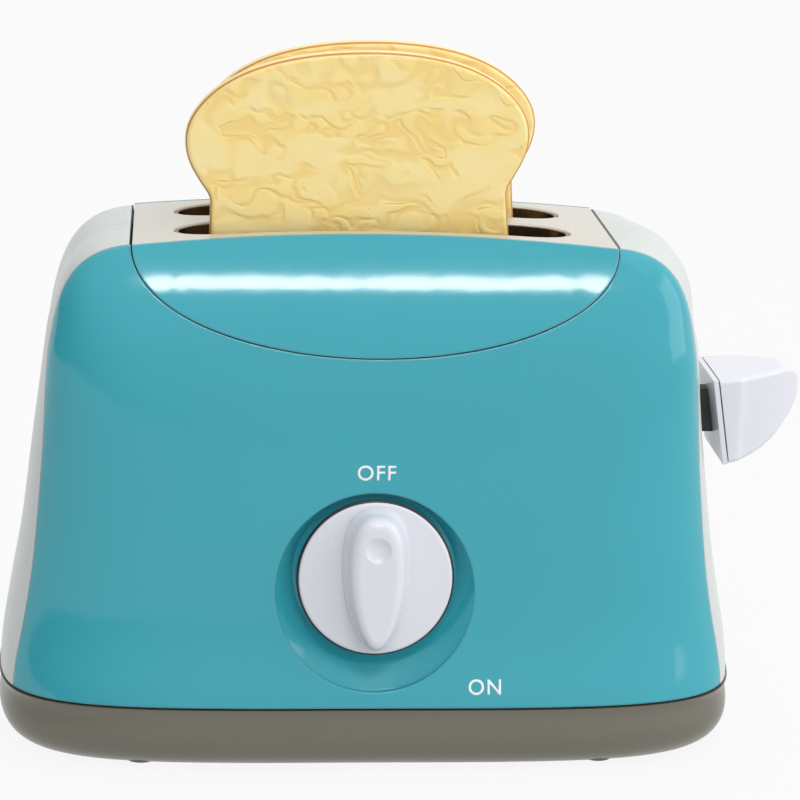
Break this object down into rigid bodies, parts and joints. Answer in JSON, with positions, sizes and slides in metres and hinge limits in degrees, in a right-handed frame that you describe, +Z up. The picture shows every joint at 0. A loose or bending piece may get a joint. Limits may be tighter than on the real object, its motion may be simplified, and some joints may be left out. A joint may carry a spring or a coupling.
{
  "type": "toy toaster",
  "caption": "Flared toy toaster with two bread slots and removable slices, a side lever on a sprung lift, a round timer knob in a dished front and a domed bell inside.",
  "frame": {"origin": "centre of the base tray's flat underside; the rubber feet stand out 0.6 mm below it", "axes": "+X towards the lever, -Y towards the front with the knob, +Z up"},
  "size_m": [0.2523, 0.139, 0.2125],
  "materials": {
    "teal_plastic": "gloss",
    "pale_plastic": "gloss",
    "plate_plastic": "satin",
    "base_plastic": "satin metallic grey",
    "white_plastic": "satin",
    "black_plastic": "satin",
    "toast_plastic": "satin",
    "inner_plastic": "matt",
    "gear_plastic": "satin",
    "foot_rubber": "matt",
    "spring_steel": "bright wire",
    "zinc_steel": "zinc plated",
    "plate_steel": "rolled",
    "bell_steel": "nickel plated"
  },
  "bodies": {
    "housing": {"base_tray": "base_plastic", "rubber_feet": "foot_rubber", "front_panel": "teal_plastic", "rear_panel": "teal_plastic", "front_shell": "pale_plastic", "rear_shell": "pale_plastic", "saddle_cover": "teal_plastic", "slot_plate": "plate_plastic", "front_bread_well": "inner_plastic", "rear_bread_well": "inner_plastic", "well_frame": "inner_plastic", "left_guide_rod": "zinc_steel", "right_guide_rod": "zinc_steel", "left_lift_spring": "spring_steel", "right_lift_spring": "spring_steel", "timer_front_plate": "plate_steel", "timer_back_plate": "plate_steel", "timer_spacers": "zinc_steel", "timer_screws": "zinc_steel", "timer_spring": "spring_steel", "rotary_damper": "black_plastic", "latch_pin": "zinc_steel", "bell_cup": "bell_steel", "bell_post": "zinc_steel", "bell_screw": "zinc_steel", "striker_pin": "zinc_steel", "body_screws": "zinc_steel", "base_screws": "zinc_steel", "saddle_screws": "zinc_steel"},
    "lift": {"toast_carriage": "inner_plastic", "lever_arm": "black_plastic", "lever_back_plate": "white_plastic", "lever_cap": "white_plastic", "lever_screws": "zinc_steel"},
    "timer": {"knob": "white_plastic", "knob_shaft": "zinc_steel", "drive_gear": "gear_plastic", "trip_cam": "gear_plastic"},
    "damper": {"damper_gear": "gear_plastic"},
    "latch": {"latch_hook": "gear_plastic"},
    "striker": {"bell_striker": "gear_plastic"},
    "front_slice": {"toast_front": "toast_plastic"},
    "rear_slice": {"toast_rear": "toast_plastic"}
  },
  "joints": [
    {"name": "lever_press", "type": "slide", "parent": "housing", "child": "lift", "axis": [0, 0, -1], "range_m": [0, 0.038], "stiffness_N_per_m": 100, "springref_m": -0.04, "deforming": ["left_lift_spring", "right_lift_spring"]},
    {"name": "knob_turn", "type": "hinge", "parent": "housing", "child": "timer", "pos_m": [0, -0.0574, 0.06], "axis": [0, 0.9925, -0.1219], "range_deg": [0, 135], "stiffness_Nm_per_rad": 0.01, "springref_deg": -28.65},
    {"name": "damper_spin", "type": "hinge", "parent": "housing", "child": "damper", "pos_m": [0.02025, -0.0574, 0.06], "axis": [0, 0.9925, -0.1219], "range_deg": [-428, 0]},
    {"name": "latch_swing", "type": "hinge", "parent": "housing", "child": "latch", "pos_m": [0.062, -0.06179, 0.02427], "axis": [0, 0.9925, -0.1219], "range_deg": [0, 6.95]},
    {"name": "striker_swing", "type": "hinge", "parent": "housing", "child": "striker", "pos_m": [-0.034, -0.022, 0.036], "axis": [0, 0, 1], "range_deg": [0, 12], "stiffness_Nm_per_rad": 0.002, "springref_deg": -11.46},
    {"name": "front_slice_lift", "type": "slide", "parent": "lift", "child": "front_slice", "axis": [0, 0, 1], "range_m": [0, 0.075]},
    {"name": "rear_slice_lift", "type": "slide", "parent": "lift", "child": "rear_slice", "axis": [0, 0, 1], "range_m": [0, 0.075]}
  ],
  "couplings": [
    {"joint": "damper_spin", "follows": "knob_turn", "ratio": -3.1667},
    {"joint": "latch_swing", "follows": "knob_turn", "ratio": 0.05134}
  ]
}
